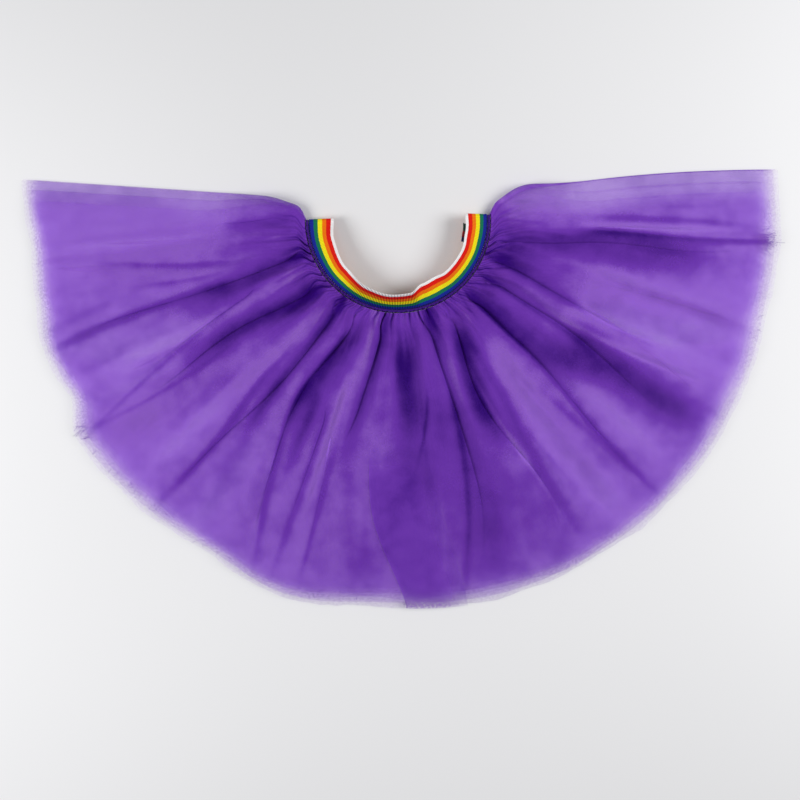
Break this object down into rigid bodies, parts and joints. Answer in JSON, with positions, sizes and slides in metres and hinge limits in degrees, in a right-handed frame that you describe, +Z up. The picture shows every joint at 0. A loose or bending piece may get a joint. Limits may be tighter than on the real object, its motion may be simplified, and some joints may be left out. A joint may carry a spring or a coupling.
{
  "type": "tulle skirt",
  "caption": "Gathered tulle skirt with a striped elastic waistband, laid flat and fanned out into a half disc of layered net.",
  "frame": {"origin": "on the surface the skirt lies on, under the middle of its footprint", "axes": "+Z up from the surface, +Y towards the waist, +X along the skirt's widest extent, towards the right wing"},
  "size_m": [0.76, 0.4414, 0.0294],
  "materials": {
    "outer_tulle": "sheer soft net with a faint sheen",
    "middle_tulle": "sheer soft net",
    "inner_tulle": "sheer soft net",
    "striped_elastic": "ribbed woven elastic in lengthwise stripes",
    "heading": "tightly gathered net",
    "overlock_thread": "matt sewing thread"
  },
  "bodies": {
    "root": {"outer_tulle": "outer_tulle", "middle_tulle": "middle_tulle", "inner_tulle": "inner_tulle", "tulle_end_lap": "outer_tulle", "waistband_elastic": "striped_elastic", "gathered_heading": "heading", "waistband_join": "overlock_thread"}
  },
  "joints": []
}
